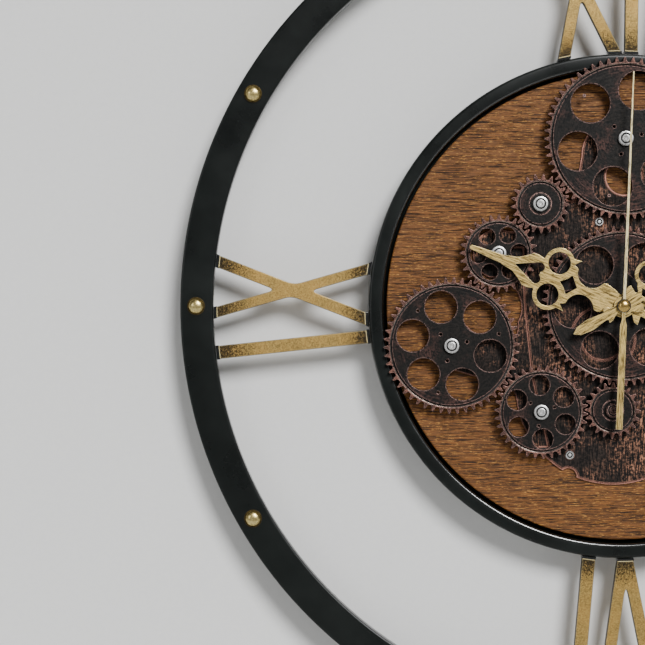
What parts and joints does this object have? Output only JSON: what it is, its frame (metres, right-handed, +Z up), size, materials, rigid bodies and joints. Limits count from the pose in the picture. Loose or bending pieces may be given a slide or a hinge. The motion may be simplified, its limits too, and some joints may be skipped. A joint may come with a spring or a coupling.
{
  "type": "skeleton wall clock",
  "caption": "Round openwork wall clock with a black ring, Roman numeral bars, a wooden dial and a turning gear train behind ornate hands.",
  "frame": {"origin": "on the dial axis at the back of the movement case, in the plane of the wall", "axes": "+Z up the dial towards twelve, the dial faces -Y, +X to the viewer's right; +Y points into the wall"},
  "size_m": [0.6, 0.0474, 0.6],
  "materials": {
    "black_steel": "satin black powder coat",
    "rivet_brass": "polished, lightly aged",
    "antique_gold": "antique gold with black patina at the ends",
    "oak_veneer": "brown open-pored oak, satin",
    "plate_bronze": "dark bronze, brushed with copper on the edges",
    "gear_bronze": "dark bronze, teeth and edges rubbed with copper",
    "polished_steel": "turned and polished",
    "plated_steel": "zinc plated",
    "hand_gold": "light gold, brushed, dark in the hollows",
    "turned_brass": "turned",
    "black_plastic": "moulded, fine texture",
    "cell_jacket": "printed jacket, plain"
  },
  "bodies": {
    "frame": {"arbor_left": "polished_steel", "arbor_low": "gear_bronze", "arbor_low_left": "polished_steel", "arbor_right": "polished_steel", "arbor_top": "polished_steel", "arbor_upper_idler": "polished_steel", "arbor_upper_left": "polished_steel", "arbor_upper_right": "polished_steel", "base_plate": "plate_bronze", "dial_board": "oak_veneer", "hand_nut": "turned_brass", "hanger_plate": "plated_steel", "inner_rim": "black_steel", "motor_case": "black_plastic", "motor_cell": "cell_jacket", "movement_case": "black_plastic", "movement_cell": "cell_jacket", "numeral_nine_i": "antique_gold", "numeral_nine_x": "antique_gold", "numeral_six_i": "antique_gold", "numeral_six_v": "antique_gold", "numeral_three_first_i": "antique_gold", "numeral_three_second_i": "antique_gold", "numeral_three_third_i": "antique_gold", "numeral_twelve_first_i": "antique_gold", "numeral_twelve_second_i": "antique_gold", "numeral_twelve_x": "antique_gold", "outer_ring": "black_steel", "plate_screw_1": "plated_steel", "plate_screw_2": "plated_steel", "rivet_01": "rivet_brass", "rivet_02": "rivet_brass", "rivet_03": "rivet_brass", "rivet_04": "rivet_brass", "rivet_05": "rivet_brass", "rivet_06": "rivet_brass", "rivet_07": "rivet_brass", "rivet_08": "rivet_brass", "rivet_09": "rivet_brass", "rivet_10": "rivet_brass", "rivet_11": "rivet_brass", "rivet_12": "rivet_brass"},
    "wheel_centre": {"gear_centre": "gear_bronze"},
    "wheel_low": {"gear_low": "gear_bronze"},
    "wheel_low_left": {"gear_low_left": "gear_bronze"},
    "wheel_left": {"gear_left": "gear_bronze"},
    "wheel_upper_left": {"gear_upper_left": "gear_bronze"},
    "wheel_upper_idler": {"gear_upper_idler": "gear_bronze"},
    "wheel_top": {"gear_top": "gear_bronze"},
    "wheel_upper_right": {"gear_upper_right": "gear_bronze"},
    "wheel_right": {"gear_right": "gear_bronze"},
    "wheel_low_right": {"gear_low_right": "gear_bronze", "motor_shaft": "polished_steel"},
    "hour": {"hour_hand": "hand_gold", "hour_pipe": "turned_brass"},
    "minute": {"minute_hand": "hand_gold", "minute_pipe": "turned_brass"},
    "second": {"second_hand": "hand_gold"},
    "knob": {"set_knob": "black_plastic"},
    "cover": {"motor_cell_cover": "black_plastic"}
  },
  "joints": [
    {"name": "gear_centre_spin", "type": "hinge", "parent": "frame", "child": "wheel_centre", "pos_m": [0, -0.0318, 0], "axis": [0, 1, 0], "continuous": true},
    {"name": "gear_low_spin", "type": "hinge", "parent": "frame", "child": "wheel_low", "pos_m": [-0.00607, -0.0318, -0.07084], "axis": [0, 1, 0], "continuous": true},
    {"name": "gear_low_left_spin", "type": "hinge", "parent": "frame", "child": "wheel_low_left", "pos_m": [-0.05466, -0.0318, -0.07194], "axis": [0, 1, 0], "continuous": true},
    {"name": "gear_left_spin", "type": "hinge", "parent": "frame", "child": "wheel_left", "pos_m": [-0.11543, -0.0318, -0.02697], "axis": [0, 1, 0], "continuous": true},
    {"name": "gear_upper_left_spin", "type": "hinge", "parent": "frame", "child": "wheel_upper_left", "pos_m": [-0.08356, -0.0318, 0.03558], "axis": [0, 1, 0], "continuous": true},
    {"name": "gear_upper_idler_spin", "type": "hinge", "parent": "frame", "child": "wheel_upper_idler", "pos_m": [-0.05522, -0.0318, 0.06936], "axis": [0, 1, 0], "continuous": true},
    {"name": "gear_top_spin", "type": "hinge", "parent": "frame", "child": "wheel_top", "pos_m": [0.00262, -0.0318, 0.11374], "axis": [0, 1, 0], "continuous": true},
    {"name": "gear_upper_right_spin", "type": "hinge", "parent": "frame", "child": "wheel_upper_right", "pos_m": [0.06451, -0.0318, 0.07354], "axis": [0, 1, 0], "continuous": true},
    {"name": "gear_right_spin", "type": "hinge", "parent": "frame", "child": "wheel_right", "pos_m": [0.10038, -0.0318, 0.0308], "axis": [0, 1, 0], "continuous": true},
    {"name": "gear_low_right_spin", "type": "hinge", "parent": "frame", "child": "wheel_low_right", "pos_m": [0.08694, -0.0318, -0.04543], "axis": [0, 1, 0], "continuous": true},
    {"name": "second_hand_spin", "type": "hinge", "parent": "frame", "child": "second", "pos_m": [0, -0.0454, 0], "axis": [0, 1, 0], "continuous": true},
    {"name": "minute_hand_spin", "type": "hinge", "parent": "frame", "child": "minute", "pos_m": [0, -0.0426, 0], "axis": [0, 1, 0], "continuous": true},
    {"name": "hour_hand_spin", "type": "hinge", "parent": "frame", "child": "hour", "pos_m": [0, -0.0396, 0], "axis": [0, 1, 0], "continuous": true},
    {"name": "set_knob_spin", "type": "hinge", "parent": "frame", "child": "knob", "pos_m": [0.014, -0.003, 0.013], "axis": [0, 1, 0], "continuous": true},
    {"name": "motor_cover_lift", "type": "slide", "parent": "frame", "child": "cover", "axis": [0, 1, 0], "range_m": [0, 0.02]}
  ],
  "couplings": [
    {"joint": "gear_low_spin", "follows": "gear_centre_spin", "ratio": -2.95},
    {"joint": "gear_low_left_spin", "follows": "gear_centre_spin", "ratio": 1.7353},
    {"joint": "gear_left_spin", "follows": "gear_centre_spin", "ratio": -1.18},
    {"joint": "gear_upper_left_spin", "follows": "gear_centre_spin", "ratio": 2.1071},
    {"joint": "gear_upper_idler_spin", "follows": "gear_centre_spin", "ratio": -2.8095},
    {"joint": "gear_top_spin", "follows": "gear_centre_spin", "ratio": 0.98333},
    {"joint": "gear_upper_right_spin", "follows": "gear_centre_spin", "ratio": -2.6818},
    {"joint": "gear_right_spin", "follows": "gear_centre_spin", "ratio": 1.475},
    {"joint": "gear_low_right_spin", "follows": "gear_centre_spin", "ratio": -1.2826},
    {"joint": "minute_hand_spin", "follows": "second_hand_spin", "ratio": 0.016667},
    {"joint": "hour_hand_spin", "follows": "second_hand_spin", "ratio": 0.0013889},
    {"joint": "set_knob_spin", "follows": "second_hand_spin", "ratio": 0.016667}
  ]
}
